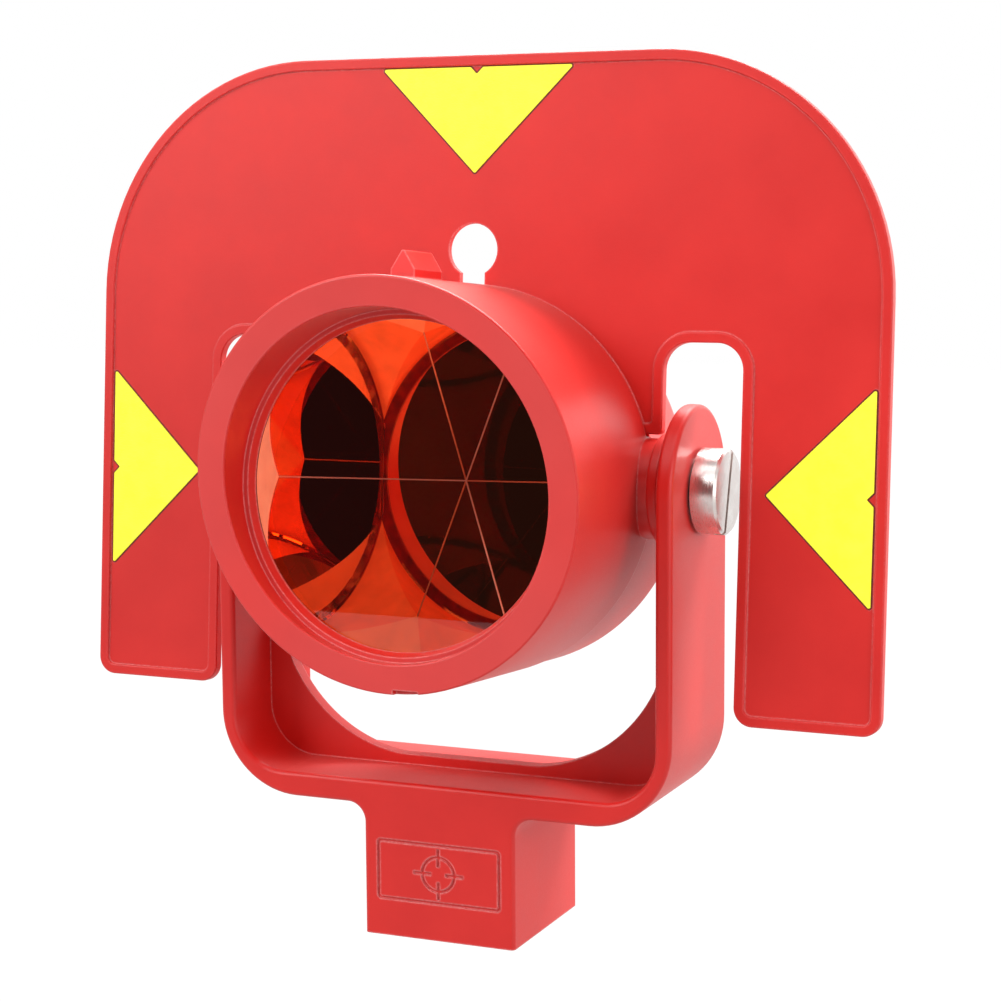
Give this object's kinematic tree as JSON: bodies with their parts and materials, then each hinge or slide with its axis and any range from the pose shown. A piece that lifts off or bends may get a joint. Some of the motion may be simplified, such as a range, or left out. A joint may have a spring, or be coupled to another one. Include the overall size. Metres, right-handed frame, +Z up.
{
  "type": "survey prism",
  "caption": "Tilting round survey prism in a moulded yoke with a spigot socket and latch, carrying a lift-off target plate with sighting marks.",
  "frame": {"origin": "centre of the spigot socket mouth, on the underside of the base", "axes": "+Z up along the socket axis, -Y the way the prism looks, +X along the tilt axis"},
  "size_m": [0.163, 0.0658, 0.1661],
  "materials": {
    "red_plastic": "fine moulded texture",
    "cap_plastic": "fine moulded texture",
    "plate_plastic": "fine moulded texture, satin",
    "washer_plastic": "satin",
    "black_plastic": "matte",
    "yellow_mark": "fluorescent lemon film",
    "glass": "polished optical glass",
    "turned_steel": "turned, fine circular grain",
    "steel": "satin",
    "spring_steel": "satin",
    "brass": "turned",
    "rubber": "dark red silicone, matte",
    "foam": "closed-cell foam"
  },
  "bodies": {
    "yoke": {"yoke": "red_plastic", "spigot_bush_lower": "steel", "spigot_bush_upper": "steel", "latch_spring": "spring_steel", "latch_cover": "red_plastic", "latch_cover_screws": "steel"},
    "latch": {"latch_plate": "steel", "latch_button": "black_plastic"},
    "head": {"prism_holder": "red_plastic", "corner_cube": "glass", "front_seal": "rubber", "prism_pads": "foam", "clamp_ring": "black_plastic", "cap_seal": "rubber", "rear_cap": "cap_plastic", "trunnion_insert_right": "brass", "trunnion_insert_left": "brass", "thrust_washer_right": "washer_plastic", "thrust_washer_left": "washer_plastic"},
    "screw_right": {"pivot_screw_right": "turned_steel", "spring_washer_right": "spring_steel"},
    "screw_left": {"pivot_screw_left": "turned_steel", "spring_washer_left": "spring_steel"},
    "target": {"target_plate": "plate_plastic", "target_mark_top": "yellow_mark", "target_mark_left": "yellow_mark", "target_mark_right": "yellow_mark"}
  },
  "joints": [
    {"name": "head_tilt", "type": "hinge", "parent": "yoke", "child": "head", "pos_m": [0, 0, 0.086], "axis": [1, 0, 0], "range_deg": [-85.7, 94.3]},
    {"name": "plate_lift", "type": "slide", "parent": "head", "child": "target", "axis": [0, 0.075, 0.9972], "range_m": [0, 0.085]},
    {"name": "latch_press", "type": "slide", "parent": "yoke", "child": "latch", "axis": [0, -1, 0], "range_m": [0, 0.0018], "stiffness_N_per_m": 1500, "springref_m": -0.002, "deforming": ["latch_spring"]},
    {"name": "screw_right_turn", "type": "hinge", "parent": "head", "child": "screw_right", "pos_m": [0.049, 0, 0.086], "axis": [1, 0, 0], "range_deg": [-90, 0]},
    {"name": "screw_left_turn", "type": "hinge", "parent": "head", "child": "screw_left", "pos_m": [-0.049, 0, 0.086], "axis": [1, 0, 0], "range_deg": [0, 90]}
  ]
}
